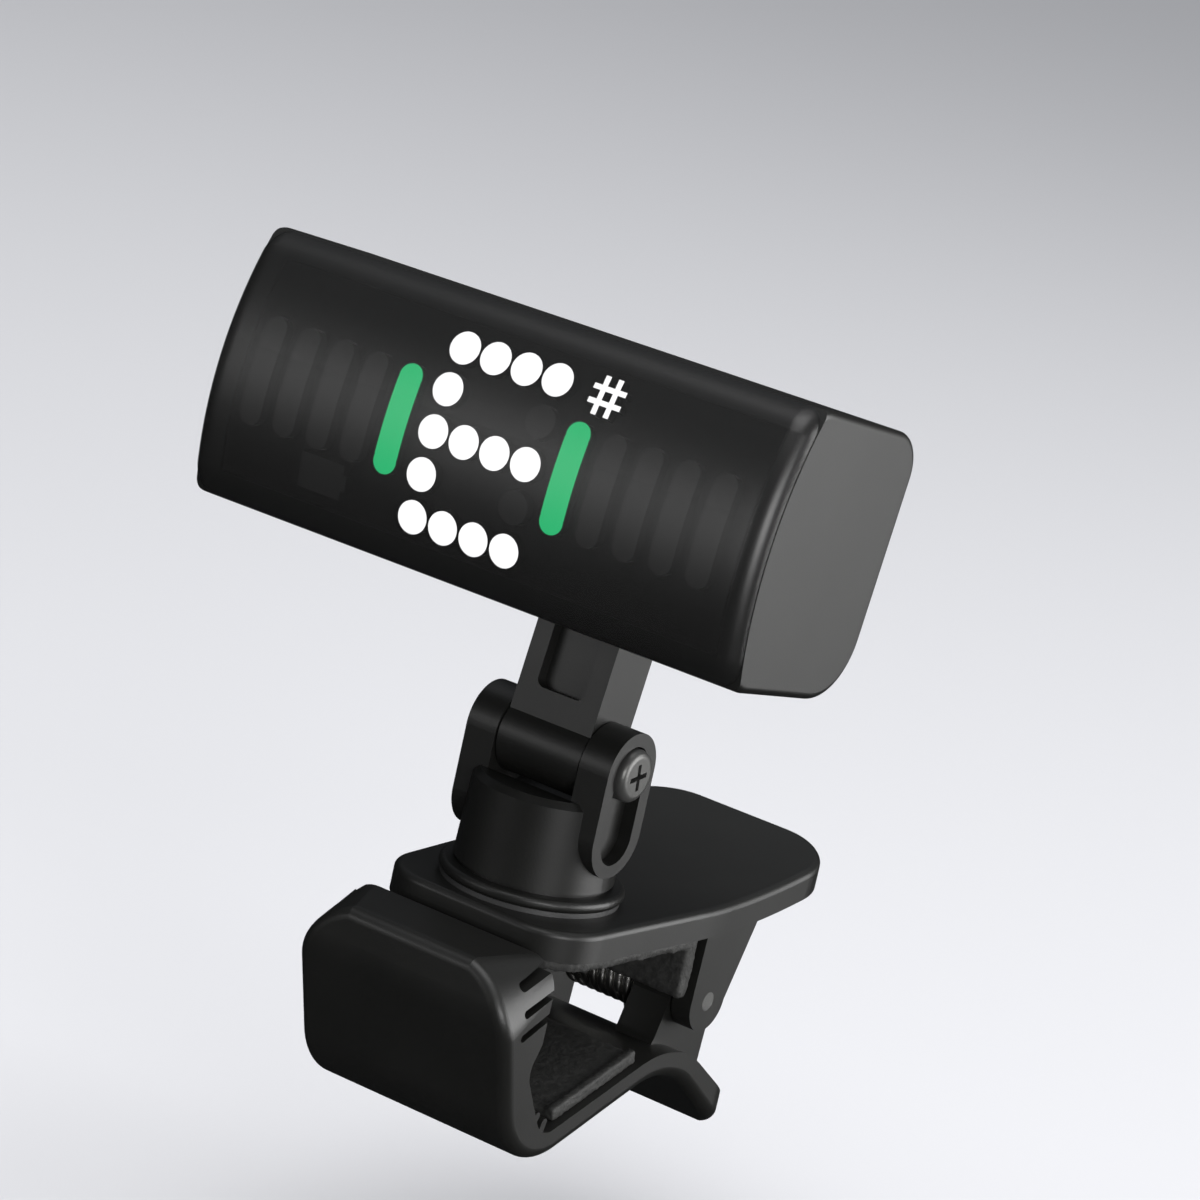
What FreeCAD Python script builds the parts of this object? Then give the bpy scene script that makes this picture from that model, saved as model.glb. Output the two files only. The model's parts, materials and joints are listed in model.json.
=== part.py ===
import FreeCAD, Part
import math
import os

# Clip-on instrument tuner. Millimetres, +Z up.
# Origin: on the swivel axis, in the plane of the upper rubber pad that rests on the headstock.
# +X is to the right of somebody who reads the display, -Y points at that person.

V = FreeCAD.Vector
os.makedirs("parts", exist_ok=True)

# ---------------------------------------------------------------- driving dimensions
PAD_T = 0.9            # upper rubber pad
PLATE_T = 2.4          # upper jaw plate
TOP = PAD_T + PLATE_T  # height of the plate's upper face

PLATE_FRONT = -8.3
PLATE_REAR = 31.8
PLATE_HALF_FRONT = 9.4
PLATE_HALF_MID = 10.5
PLATE_HALF_REAR = 10.3
PLATE_RISE = 2.2       # the thumb end sweeps up by this much
RISE_START = 11.0

PIN_Y = 13.85
PIN_Z = TOP - 8.3
PIN_D = 1.6
WING_OUT = 10.3
WING_IN = 8.5
KNUCKLE_OUT = 8.3
KNUCKLE_IN = 4.7
KNUCKLE_R = 2.55
JAW_HALF = 10.1
RUN = 0.04             # radial clearance of a turning fit

WIRE = 0.80
COIL_R = 2.35
COIL_TURNS = 7 + 88.0 / 360.0
COIL_X0 = -2.4

BASE_R = 6.45          # round swivel base
FLANGE_R = 7.45
RING_T = 0.4           # friction ring under the swivel base
HINGE_Z = TOP + 11.5
EAR_IN = 4.0
EAR_OUT = 6.8
EAR_R = 3.3
NECK_HALF = 3.87
BARREL_R = 3.2
TILT = 9.9             # the head leans back by this angle

HEAD_HALF = 25.1
FACE_R = 28.86         # curved display face
FACE_Y = -24.66
FACE_UP = 21.6         # display centre above the hinge
HEAD_TOP = 32.3
HEAD_BOTTOM = 11.1
HEAD_REAR = -6.0
LENS_T = 1.2
SHELL = 1.6

DOT_PITCH = 2.8
DOT_ROW = 3.33
DOT_R = 1.27
BAR_FIRST = 7.62
BAR_PITCH = 3.207
BAR_W = 2.0
BAR_L = 8.6


# ---------------------------------------------------------------- helpers
def save(name, shape):
    if hasattr(shape, "removeSplitter"):
        shape = shape.removeSplitter()
    solids = shape.Solids
    out = solids[0] if len(solids) == 1 else Part.makeCompound(solids)
    out.exportStep("parts/" + name + ".step")
    box = out.BoundBox
    print(f"{name:22s} solids {len(solids):2d}  volume {out.Volume:9.2f}  valid {out.isValid()}"
          f"  z {box.ZMin:7.2f} to {box.ZMax:7.2f}")


def box(x0, x1, y0, y1, z0, z1):
    return Part.makeBox(x1 - x0, y1 - y0, z1 - z0, V(x0, y0, z0))


def rod(radius, start, end):
    axis = V(*end) - V(*start)
    return Part.makeCylinder(radius, axis.Length, V(*start), axis)


def ball_rim(shape, radius, test):
    """Rounds the edges that the test picks, or leaves the body alone when that cannot be done."""
    edges = [e for e in shape.Edges if test(e)]
    try:
        new = shape.makeFillet(radius, edges)
        if new.isValid() and new.Volume > 0:
            return new
    except Exception:
        pass
    print("   rounding left out, radius", radius, "edges", len(edges))
    return shape


def rounded_wire(corners):
    """Closed wire through 3-D corners, each with its own corner radius."""
    count = len(corners)
    starts = []
    ends = []
    mids = []
    for i, (point, radius) in enumerate(corners):
        before = corners[i - 1][0] - point
        after = corners[(i + 1) % count][0] - point
        before.normalize()
        after.normalize()
        if radius <= 0:
            starts.append(point)
            ends.append(point)
            mids.append(None)
            continue
        half = before.getAngle(after) / 2
        reach = radius / math.tan(half)
        bisector = before + after
        bisector.normalize()
        centre = point + bisector * (radius / math.sin(half))
        starts.append(point + before * reach)
        ends.append(point + after * reach)
        mids.append(centre - bisector * radius)
    edges = []
    for i in range(count):
        if mids[i] is not None:
            edges.append(Part.Arc(starts[i], mids[i], ends[i]).toShape())
        nxt = starts[(i + 1) % count]
        if (nxt - ends[i]).Length > 1e-5:
            edges.append(Part.makeLine(ends[i], nxt))
    return Part.Wire(edges)


def side_profile(corners, x0, x1):
    """Prism along X from (y, height above the plate top, radius) corners."""
    wire = rounded_wire([(V(x0, y, TOP + z), r) for y, z, r in corners])
    return Part.Face(wire).extrude(V(x1 - x0, 0, 0))


def plan_profile(corners, z0, z1):
    """Prism along Z from (x, y, radius) corners."""
    wire = rounded_wire([(V(x, y, z0), r) for x, y, r in corners])
    return Part.Face(wire).extrude(V(0, 0, z1 - z0))


def obround(x0, x1, half_width, z_low, z_high, y=0.0):
    """Upright slot shape, thick along X."""
    low = rod(half_width, (x0, y, z_low), (x1, y, z_low))
    high = rod(half_width, (x0, y, z_high), (x1, y, z_high))
    return low.fuse([high, box(x0, x1, y - half_width, y + half_width, z_low, z_high)])


def mirror_x(shape):
    return shape.mirror(V(0, 0, 0), V(1, 0, 0))


def lean(shape):
    """The head is drawn upright and then leans back about the hinge screw."""
    out = shape.copy()
    out.rotate(V(0, 0, HINGE_Z), V(1, 0, 0), -TILT)
    return out


def group(shapes):
    return Part.makeCompound(shapes)


# ---------------------------------------------------------------- upper jaw
def plate_plan(inset, z0, z1, rear=PLATE_REAR):
    half_f = PLATE_HALF_FRONT - inset
    half_m = PLATE_HALF_MID - inset
    half_r = PLATE_HALF_REAR - inset
    front = PLATE_FRONT + inset
    back = rear - inset
    return plan_profile([
        (-half_f, front, 5.0 - inset), (half_f, front, 5.0 - inset),
        (half_m, 12.0, 60.0), (half_r, back, 6.0 - inset),
        (-half_r, back, 6.0 - inset), (-half_m, 12.0, 60.0)], z0, z1)


def plate_sheet(z_top, z_bottom):
    """Flat from the front, then one wide arc that lifts the thumb end."""
    run = PLATE_REAR + 2 - RISE_START
    rise = PLATE_RISE * (run / (PLATE_REAR - RISE_START)) ** 2
    edges = []
    rows = []
    for z in (z_top, z_bottom):
        rows.append((V(-12, -12, z), V(-12, RISE_START, z),
                     V(-12, RISE_START + run / 2, z + rise / 4), V(-12, RISE_START + run, z + rise)))
    top, low = rows
    edges.append(Part.makeLine(top[0], top[1]))
    edges.append(Part.Arc(top[1], top[2], top[3]).toShape())
    edges.append(Part.makeLine(top[3], low[3]))
    edges.append(Part.Arc(low[3], low[2], low[1]).toShape())
    edges.append(Part.makeLine(low[1], low[0]))
    edges.append(Part.makeLine(low[0], top[0]))
    return Part.Face(Part.Wire(edges)).extrude(V(24, 0, 0))


plate = plate_sheet(TOP, PAD_T).common(plate_plan(0.0, -2.0, TOP + 6.0))
plate = ball_rim(plate, 0.55, lambda e: e.BoundBox.ZMin > PAD_T + 0.6 and e.BoundBox.ZMax < TOP + 5.0
                 and e.BoundBox.ZLength < 3.2 and e.Length > 1.0 and e.CenterOfMass.z > TOP - 0.05)

wing = side_profile([
    (11.55, 0.0 - 1.2, 0.0), (11.30, -8.30, 0.0), (13.85, -8.30, 0.0),
    (16.35, -8.60, 0.0), (19.4, -1.2, 0.0)], WING_IN, WING_OUT)
wing = wing.fuse(rod(2.55, (WING_IN, PIN_Y, PIN_Z), (WING_OUT, PIN_Y, PIN_Z)))
upper_jaw = plate.fuse([wing, mirror_x(wing)])
upper_jaw = upper_jaw.cut(rod(PIN_D / 2, (-12, PIN_Y, PIN_Z), (12, PIN_Y, PIN_Z)))
# swivel bore and the counterbore that hides the retaining washer under the pad
SPIGOT_R = 3.0
WEB = 1.3
upper_jaw = upper_jaw.cut(rod(SPIGOT_R + 0.05, (0, 0, PAD_T - 1), (0, 0, TOP + 1)))
upper_jaw = upper_jaw.cut(rod(4.3, (0, 0, PAD_T - 1), (0, 0, TOP - WEB)))
save("upper_jaw", upper_jaw)

pad_flat = plate_plan(0.35, 0.0, PAD_T, PLATE_REAR)
pad_flat = pad_flat.common(box(-12, 12, -12, 10.75, -1, 2))
pad_leg = side_profile([(9.25, -PLATE_T, 0.0), (9.35, -7.65, 0.7), (10.8, -7.65, 0.7), (10.8, -PLATE_T, 0.0)],
                       -PLATE_HALF_MID + 0.45, PLATE_HALF_MID - 0.45)
upper_pad = pad_flat.fuse(pad_leg)
save("upper_pad", upper_pad)

pin = rod(PIN_D / 2, (-WING_OUT - 0.02, PIN_Y, PIN_Z), (WING_OUT + 0.02, PIN_Y, PIN_Z))
save("pivot_pin", pin)

ring = rod(FLANGE_R - 0.25, (0, 0, TOP), (0, 0, TOP + RING_T))
ring = ring.cut(rod(SPIGOT_R + 0.3, (0, 0, TOP - 1), (0, 0, TOP + 2)))
save("swivel_friction_ring", ring)

# ---------------------------------------------------------------- lower jaw
HOOK_PROFILE = [
    (-15.6, -1.6, 0.0), (-15.6, -5.4, 6.0), (-10.35, -19.65, 6.8),
    (10.62, -13.41, 9.0), (21.4, -21.3, 0.0), (22.8, -19.1, 0.0), (10.97, -11.08, 11.0),
    (-6.98, -16.25, 2.3), (-10.9, -10.2, 2.0), (-9.75, -7.9, 0.5), (-9.75, -1.3, 0.0)]
hook = side_profile(HOOK_PROFILE, -JAW_HALF, JAW_HALF)

# front view outline: large upper corners in front, small ones at the back
outlines = []
for y, corner in ((-16.5, 7.2), (-9.0, 2.2)):
    outlines.append(rounded_wire([
        (V(-JAW_HALF, y, TOP - 1.3), corner), (V(JAW_HALF, y, TOP - 1.3), corner),
        (V(JAW_HALF, y, TOP - 9.0), 0.0), (V(-JAW_HALF, y, TOP - 9.0), 0.0)]))
corner_zone = box(-JAW_HALF - 1, JAW_HALF + 1, -16.5, -9.0, TOP - 9.0, TOP + 1)
hook = hook.cut(corner_zone.cut(Part.makeLoft(outlines, True, True)))
# the thumb tail is rounded seen from above
tail_plan = plan_profile([(-JAW_HALF, -40, 0.0), (JAW_HALF, -40, 0.0), (JAW_HALF, 22.8, 4.0),
                          (-JAW_HALF, 22.8, 4.0)], TOP - 40, TOP + 5)
hook = hook.common(tail_plan).removeSplitter()


# the hook's outer skin runs down the front wall, along the underside and out to the tail
skin = Part.makeCompound(rounded_wire([(V(-JAW_HALF, y, TOP + z), r) for y, z, r in HOOK_PROFILE]).OrderedEdges[:7])


def outer_rim(e):
    """Every edge round the outer skin, but not the smooth seams that cross it."""
    p = e.valueAt((e.FirstParameter + e.LastParameter) / 2)
    on_skin = Part.Vertex(V(-JAW_HALF, p.y, p.z)).distToShape(skin)[0] < 0.005
    crossing = abs(p.x) < 0.01 and TOP - 21.0 < p.z < TOP - 1.7
    return on_skin and not crossing


hook = ball_rim(hook, 1.0, outer_rim)

# three barbs inside the front wall, parted by slanted slots
SLOT_DIR = V(0, 0.93, 0.3676)
for z in (-3.1, -5.0, -6.9):
    root = V(0, -12.7, TOP + z)
    tip = root + SLOT_DIR * 5.0
    side = V(0, -SLOT_DIR.z, SLOT_DIR.y) * 0.33
    bar = Part.Face(Part.makePolygon([root + side, tip + side, tip - side, root - side, root + side]))
    bar.translate(V(-12, 0, 0))
    slot = bar.extrude(V(24, 0, 0))
    slot = slot.fuse(rod(0.33, (-12, root.y, root.z), (12, root.y, root.z)))
    hook = hook.cut(slot)

knuckle = side_profile([
    (11.35, -8.3, 0.0), (10.2, -11.6, 1.5), (9.2, -13.1, 0.0), (17.9, -17.0, 0.0),
    (18.2, -12.1, 0.5), (16.3, -9.4, 0.0)], KNUCKLE_IN, KNUCKLE_OUT)
knuckle = knuckle.fuse(rod(KNUCKLE_R, (KNUCKLE_IN, PIN_Y, PIN_Z), (KNUCKLE_OUT, PIN_Y, PIN_Z)))
lower_jaw = hook.fuse([knuckle, mirror_x(knuckle)])

# two small ribs across the bottom of the hook
for y, z, turn in ((-8.1, -14.75, 32.0), (-6.75, -15.55, 16.0)):
    rib = box(-JAW_HALF + 0.2, JAW_HALF - 0.2, -0.34, 0.34, -0.6, 0.55)
    rib = rib.fuse(rod(0.34, (-JAW_HALF + 0.2, 0, 0.55), (JAW_HALF - 0.2, 0, 0.55)))
    rib.rotate(V(0, 0, 0), V(1, 0, 0), -turn)
    rib.translate(V(0, y, TOP + z))
    lower_jaw = lower_jaw.fuse(rib)
lower_jaw = lower_jaw.cut(rod(PIN_D / 2 + RUN, (-12, PIN_Y, PIN_Z), (12, PIN_Y, PIN_Z)))
# the coil turns in a shallow trough between the knuckles
lower_jaw = lower_jaw.cut(rod(COIL_R + WIRE / 2 + 0.35, (-KNUCKLE_IN, PIN_Y, PIN_Z), (KNUCKLE_IN, PIN_Y, PIN_Z)))
save("lower_jaw", lower_jaw)

# rubber pad on the arm, with a raised lip along each side
ARM_SLOPE = 16.05
pad_len = 11.2
lower_pad = box(-9.5, 9.5, 0, pad_len, 0.0, 0.8)
for sign in (-1, 1):
    x0 = min(sign * 9.5, sign * 8.8)
    lip = box(x0, x0 + 0.7, 0, pad_len, 0.0, 1.15)
    lower_pad = lower_pad.fuse(lip)
lower_pad.rotate(V(0, 0, 0), V(1, 0, 0), ARM_SLOPE)
lower_pad.translate(V(0, -4.75, TOP - 13.4 + 0.2877 * (-4.75 - 2.9) + 0.02))
save("lower_pad", lower_pad)

# ---------------------------------------------------------------- torsion spring
COIL_PITCH = WIRE + 0.03
LEG_PLATE = 122.0      # where the plate leg leaves the coil, degrees from +Y towards +Z
LEG_TAIL = 210.0
helix_len = COIL_TURNS * COIL_PITCH
helix = Part.makeHelix(COIL_PITCH, helix_len, COIL_R)
first = helix.Edges[0]
section = Part.Wire(Part.makeCircle(WIRE / 2, first.valueAt(first.FirstParameter),
                                    first.tangentAt(first.FirstParameter)))
coil = Part.Wire(helix).makePipeShell([section], True, True)
coil.rotate(V(0, 0, 0), V(0, 1, 0), 90)
coil.rotate(V(0, 0, 0), V(1, 0, 0), LEG_PLATE + 90)
coil.translate(V(COIL_X0 + WIRE / 2, PIN_Y, PIN_Z))


def coil_leg(x, degrees, length, sign):
    """Straight leg that runs off the coil along its tangent, joined by a ball of wire."""
    a = math.radians(degrees)
    start = V(x, PIN_Y + COIL_R * math.cos(a), PIN_Z + COIL_R * math.sin(a))
    along = V(0, -math.sin(a) * sign, math.cos(a) * sign)
    leg = Part.makeCylinder(WIRE / 2 + 0.012, length, start, along)
    return leg.fuse(Part.makeSphere(WIRE / 2 + 0.012, start))


plate_leg = coil_leg(COIL_X0 + WIRE / 2, LEG_PLATE, 5.9, -1)
tail_leg = coil_leg(COIL_X0 + WIRE / 2 + helix_len, LEG_TAIL, 2.9, 1)
print("coil volume", round(coil.Volume, 2), coil.isValid(), len(coil.Solids))
torsion_spring = coil.fuse([plate_leg, tail_leg])
save("torsion_spring", torsion_spring)

# ---------------------------------------------------------------- swivel base with its two ears
FLANGE_Z = TOP + RING_T
base = rod(FLANGE_R, (0, 0, FLANGE_Z), (0, 0, FLANGE_Z + 0.95))
base = ball_rim(base, 0.42, lambda e: e.Length > 20)
groove = rod(BASE_R - 0.25, (0, 0, FLANGE_Z + 0.5), (0, 0, FLANGE_Z + 1.3))
DRUM_TOP = TOP + 8.85
drum = Part.makeCone(BASE_R, BASE_R - 0.2, DRUM_TOP - FLANGE_Z - 1.25, V(0, 0, FLANGE_Z + 1.25))
drum = ball_rim(drum, 0.12, lambda e: e.Closed and e.BoundBox.ZMin > DRUM_TOP - 0.01)
drum_edge = Part.makeCone(BASE_R + 0.65, BASE_R - 1.35, 2.0, V(0, 0, DRUM_TOP - 1.0 - 0.35))
drum = drum.common(drum_edge.fuse(rod(BASE_R + 1, (0, 0, FLANGE_Z), (0, 0, DRUM_TOP - 1.35))))
ear = obround(EAR_IN, EAR_OUT, EAR_R, TOP + 6.3, HINGE_Z + 0.1)
ears = ear.fuse(mirror_x(ear))
# hollow for the arm's barrel, wider than the barrel
drum = drum.cut(rod(4.25, (-EAR_IN, 0, HINGE_Z), (EAR_IN, 0, HINGE_Z)))
swivel_base = base.fuse([groove, drum, ears])
swivel_base = swivel_base.cut(box(-EAR_IN, EAR_IN, -4, 4, DRUM_TOP, TOP + 20))
spigot = rod(SPIGOT_R, (0, 0, TOP - WEB - 0.03), (0, 0, FLANGE_Z + 0.2))
swivel_base = swivel_base.fuse(spigot)
# outer recesses of the ears: a slot, and a wider round seat for the screw head or the nut
POCKET = 1.15
HEAD_SEAT = 2.3
for sign in (-1, 1):
    slot = obround(EAR_OUT - POCKET, EAR_OUT + 1, 2.05, TOP + 6.1, HINGE_Z)
    seat = rod(HEAD_SEAT, (EAR_OUT - POCKET - 0.15, 0, HINGE_Z), (EAR_OUT + 1, 0, HINGE_Z))
    recess = slot.fuse(seat)
    swivel_base = swivel_base.cut(recess if sign > 0 else mirror_x(recess))
SCREW_R = 0.95
swivel_base = swivel_base.cut(rod(SCREW_R + 0.03, (-9, 0, HINGE_Z), (9, 0, HINGE_Z)))
swivel_base = swivel_base.cut(rod(SCREW_R, (0, 0, 0), (0, 0, TOP + 5.0)))
save("swivel_base", swivel_base)

SEAT_X = EAR_OUT - POCKET - 0.15


def cross_slot(depth, long_half, width):
    a = box(-long_half, long_half, -width / 2, width / 2, -depth, 0.5)
    b = box(-width / 2, width / 2, -long_half, long_half, -depth, 0.5)
    return a.fuse(b)


# pan head screw through both ears, with its nut in the far ear
HEAD_R = 2.15
HEAD_T = 2.0
head = Part.makeCylinder(HEAD_R, HEAD_T, V(0, 0, 0), V(0, 0, 1))
head = ball_rim(head, 0.6, lambda e: e.Closed and e.BoundBox.ZMin > HEAD_T - 0.1)
cross = cross_slot(1.1, 1.1, 0.42)
cross.translate(V(0, 0, HEAD_T))
hinge_screw = head.cut(cross)
shank = Part.makeCylinder(SCREW_R, SEAT_X * 2 + 1.35, V(0, 0, 0.05), V(0, 0, -1))
hinge_screw = hinge_screw.fuse(shank)
hinge_screw.rotate(V(0, 0, 0), V(0, 1, 0), 90)
hinge_screw.rotate(V(0, 0, 0), V(1, 0, 0), 8)
hinge_screw.translate(V(SEAT_X, 0, HINGE_Z))
save("hinge_screw", hinge_screw)

NUT_T = 1.2
hexagon = [V(-SEAT_X, 2.15 * math.cos(math.radians(60 * k)), HINGE_Z + 2.15 * math.sin(math.radians(60 * k)))
           for k in range(7)]
nut = Part.Face(Part.makePolygon(hexagon)).extrude(V(-NUT_T, 0, 0))
nut = nut.cut(rod(SCREW_R, (-9, 0, HINGE_Z), (9, 0, HINGE_Z)))
save("hinge_nut", nut)

washer = rod(4.1, (0, 0, TOP - WEB - 0.43), (0, 0, TOP - WEB - 0.03))
washer = washer.cut(rod(SCREW_R, (0, 0, -2), (0, 0, TOP)))
save("swivel_washer", washer)

low_head = rod(1.9, (0, 0, TOP - WEB - 1.0), (0, 0, TOP - WEB - 0.43))
cut_cross = cross_slot(0.4, 0.9, 0.4)
cut_cross.rotate(V(0, 0, 0), V(1, 0, 0), 180)
cut_cross.translate(V(0, 0, TOP - WEB - 1.0))
swivel_screw = low_head.cut(cut_cross)
swivel_screw = swivel_screw.fuse(rod(SCREW_R, (0, 0, TOP - WEB - 0.5), (0, 0, TOP + 4.6)))
save("swivel_screw", swivel_screw)

# ---------------------------------------------------------------- neck
NECK_FRONT = -2.6
NECK_BACK = 2.9
ARM_TOP = 27.0
arm = box(-NECK_HALF, NECK_HALF, NECK_FRONT, NECK_BACK, HINGE_Z, HINGE_Z + ARM_TOP)
arm = arm.fuse(rod(BARREL_R, (-NECK_HALF, 0, HINGE_Z), (NECK_HALF, 0, HINGE_Z)))
foot = box(-NECK_HALF, NECK_HALF, HEAD_REAR, NECK_FRONT, HINGE_Z + 16.2, HINGE_Z + ARM_TOP)
arm = arm.fuse(foot)
arm = ball_rim(arm, 1.6, lambda e: abs(e.CenterOfMass.z - HINGE_Z - ARM_TOP) < 0.01
               and abs(e.CenterOfMass.y - NECK_BACK) < 0.01)
# pocket in the front of the arm
pocket = plan_profile([(-2.25, NECK_FRONT - 0.5, 0.0), (2.25, NECK_FRONT - 0.5, 0.0),
                       (2.25, NECK_FRONT + 1.1, 0.0), (-2.25, NECK_FRONT + 1.1, 0.0)],
                      HINGE_Z + 4.2, HINGE_Z + 16.2)
pocket = ball_rim(pocket, 0.7, lambda e: abs(e.CenterOfMass.z - HINGE_Z - 4.2) < 0.01
                  and e.BoundBox.YLength > 1.0 and e.BoundBox.XLength < 0.01)
arm = arm.cut(pocket)
arm = arm.cut(rod(SCREW_R + RUN, (-9, 0, HINGE_Z), (9, 0, HINGE_Z)))
NECK_SCREWS = (19.2, 24.2)
for up in NECK_SCREWS:
    arm = arm.cut(rod(1.55, (0, NECK_BACK + 1, HINGE_Z + up), (0, NECK_BACK - 1.6, HINGE_Z + up)))
    arm = arm.cut(rod(0.85, (0, NECK_BACK + 1, HINGE_Z + up), (0, HEAD_REAR - 1, HINGE_Z + up)))
save("neck_arm", lean(arm))

neck_screws = []
for up in NECK_SCREWS:
    z = HINGE_Z + up
    screw = rod(1.4, (0, NECK_BACK - 1.6, z), (0, NECK_BACK - 0.6, z))
    slot = cross_slot(0.5, 0.8, 0.32)
    slot.rotate(V(0, 0, 0), V(1, 0, 0), -90)
    slot.translate(V(0, NECK_BACK - 0.6, z))
    screw = screw.cut(slot).fuse(rod(0.8, (0, NECK_BACK - 1.4, z), (0, HEAD_REAR - 3.6, z)))
    neck_screws.append(lean(screw))
save("neck_screws", group(neck_screws))


# ---------------------------------------------------------------- head
def face_arc(y_at_centre):
    """Y of the display curve, and its centre, for a sheet whose apex is at y_at_centre."""
    radius = FACE_R - (y_at_centre - FACE_Y)
    return radius, FACE_Y + FACE_R


def section(inset, half_length, front_inset=None):
    """Solid bar with the head's side profile, drawn in by an inset."""
    if front_inset is None:
        front_inset = inset
    radius = FACE_R - front_inset
    mid_y = FACE_Y + FACE_R
    top = HEAD_TOP - inset
    low = HEAD_BOTTOM + inset
    back = HEAD_REAR - inset
    ya = mid_y - math.sqrt(radius ** 2 - (top - FACE_UP) ** 2)
    yb = mid_y - math.sqrt(radius ** 2 - (low - FACE_UP) ** 2)
    x = -half_length
    z0 = HINGE_Z
    apex = V(x, mid_y - radius, z0 + FACE_UP)
    front = Part.Arc(V(x, yb, z0 + low), apex, V(x, ya, z0 + top)).toShape()
    lines = Part.makePolygon([V(x, ya, z0 + top), V(x, back, z0 + top - 0.35),
                              V(x, back, z0 + low + 0.4), V(x, yb, z0 + low)])
    bar = Part.Face(Part.Wire([front] + lines.Edges)).extrude(V(2 * half_length, 0, 0))
    return bar


def long_edges(shape, radii):
    """Rounds the four long edges: front top, front bottom, rear top, rear bottom."""
    mid_y = (FACE_Y + HEAD_REAR) / 2
    mid_z = HINGE_Z + (HEAD_TOP + HEAD_BOTTOM) / 2
    for key, radius in radii.items():
        def wanted(e):
            c = e.CenterOfMass
            long_one = e.BoundBox.XLength > 30 and e.BoundBox.YLength < 0.01
            return long_one and (c.y < mid_y) == key[0] and (c.z > mid_z) == key[1]
        shape = ball_rim(shape, radius, wanted)
    return shape


OUTER = {(True, True): 3.0, (True, False): 3.0, (False, True): 3.2, (False, False): 5.0}
INNER = {(True, True): 1.5, (True, False): 1.5, (False, True): 1.6, (False, False): 3.4}
block = long_edges(section(0.0, HEAD_HALF), OUTER)
# the lens is rounder at its two ends than the shell behind it
lens_block = ball_rim(block, 1.7, lambda e: e.BoundBox.XLength < 0.01)
block = ball_rim(block, 0.6, lambda e: e.BoundBox.XLength < 0.01)
inner = long_edges(section(SHELL, HEAD_HALF - SHELL), INNER)


def drum_about_face(radius):
    """Cylinder about the centre of the display curve."""
    return rod(radius, (-30, FACE_Y + FACE_R, HINGE_Z + FACE_UP), (30, FACE_Y + FACE_R, HINGE_Z + FACE_UP))


front_half = box(-30, 30, -40, -14, HINGE_Z, HINGE_Z + 50)
lens = lens_block.common(front_half).cut(drum_about_face(FACE_R - LENS_T))

case = block.common(drum_about_face(FACE_R - LENS_T - 0.03).fuse(box(-30, 30, -14.5, 5, HINGE_Z, HINGE_Z + 50)))
opening = box(-HEAD_HALF + 2.2, HEAD_HALF - 2.2, -40, -15, HINGE_Z + HEAD_BOTTOM + 2.1, HINGE_Z + HEAD_TOP - 2.1)
case = case.cut(inner.fuse(opening))
USB_Z = HINGE_Z + 18.0
USB_Y = -14.2
usb_gap = box(-HEAD_HALF - 1, -HEAD_HALF + 4, USB_Y - 1.63, USB_Y + 1.63, USB_Z - 4.5, USB_Z + 4.5)
usb_gap = ball_rim(usb_gap, 1.6, lambda e: e.BoundBox.XLength > 3)
case = case.cut(usb_gap)
BUTTON_X = -14.5
BUTTON_Z = HINGE_Z + 22.5
BUTTON_R = 3.2
case = case.cut(rod(BUTTON_R + 0.12, (BUTTON_X, -12, BUTTON_Z), (BUTTON_X, 0, BUTTON_Z)))
for up in NECK_SCREWS:
    boss = rod(2.0, (0, HEAD_REAR - 4.6, HINGE_Z + up), (0, HEAD_REAR - 1.0, HINGE_Z + up))
    case = case.fuse(boss)
for up in NECK_SCREWS:
    case = case.cut(rod(0.8, (0, HEAD_REAR - 3.7, HINGE_Z + up), (0, 0, HINGE_Z + up)))
POSTS = [(20.6, HINGE_Z + 15.6), (20.6, HINGE_Z + 27.6), (-20.6, HINGE_Z + 27.6), (-9.3, HINGE_Z + 15.4)]
BOARD_FRONT = -19.3
BOARD_T = 1.0
for x, z in POSTS:
    case = case.fuse(rod(1.9, (x, BOARD_FRONT + BOARD_T, z), (x, HEAD_REAR - 1.0, z)))
case = case.cut(group([rod(0.7, (x, BOARD_FRONT, z), (x, -11.0, z)) for x, z in POSTS]))
save("rear_housing", lean(case))

# light frame behind the lens: black grid with a hole for every lit mark
FRAME_OUT = FACE_R - LENS_T - 0.06
FRAME_T = 1.3
frame = drum_about_face(FRAME_OUT).cut(drum_about_face(FRAME_OUT - FRAME_T))
frame = frame.common(box(-HEAD_HALF + 2.4, HEAD_HALF - 2.4, -40, -15,
                         HINGE_Z + HEAD_BOTTOM + 2.3, HINGE_Z + HEAD_TOP - 2.3))


def on_face(x, along, radius):
    """Point on a drum of the given radius, a distance along the display curve from its centre."""
    a = along / FACE_R
    return V(x, FACE_Y + FACE_R - radius * math.cos(a), HINGE_Z + FACE_UP + radius * math.sin(a))


def guide_round(x, along, radius):
    """Cylinder that stands square to the display, from its outer face inwards."""
    outside = on_face(x, along, FACE_R)
    inward = V(0, FACE_Y + FACE_R, HINGE_Z + FACE_UP) - V(0, outside.y, outside.z)
    inward.normalize()
    return Part.makeCylinder(radius, 6.0, outside, inward)


def guide_slot(x, length, width):
    low = guide_round(x, -(length - width) / 2, width / 2)
    high = guide_round(x, (length - width) / 2, width / 2)
    a = (length - width) / 2 / FACE_R
    mid = FACE_R - 3.0
    reach = mid * math.sin(a)
    side = box(x - width / 2, x + width / 2, FACE_Y, FACE_Y + 6,
               HINGE_Z + FACE_UP - reach, HINGE_Z + FACE_UP + reach)
    return low.fuse([high, side])


# every guide stands up into a blind pocket of the lens, so its light shows at the surface
SKIN = 0.3
GUIDE_OUT = FACE_R - SKIN - 0.03
shell_zone = drum_about_face(GUIDE_OUT).cut(drum_about_face(FRAME_OUT - FRAME_T))


def plug(tool):
    return tool.common(shell_zone)


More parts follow.
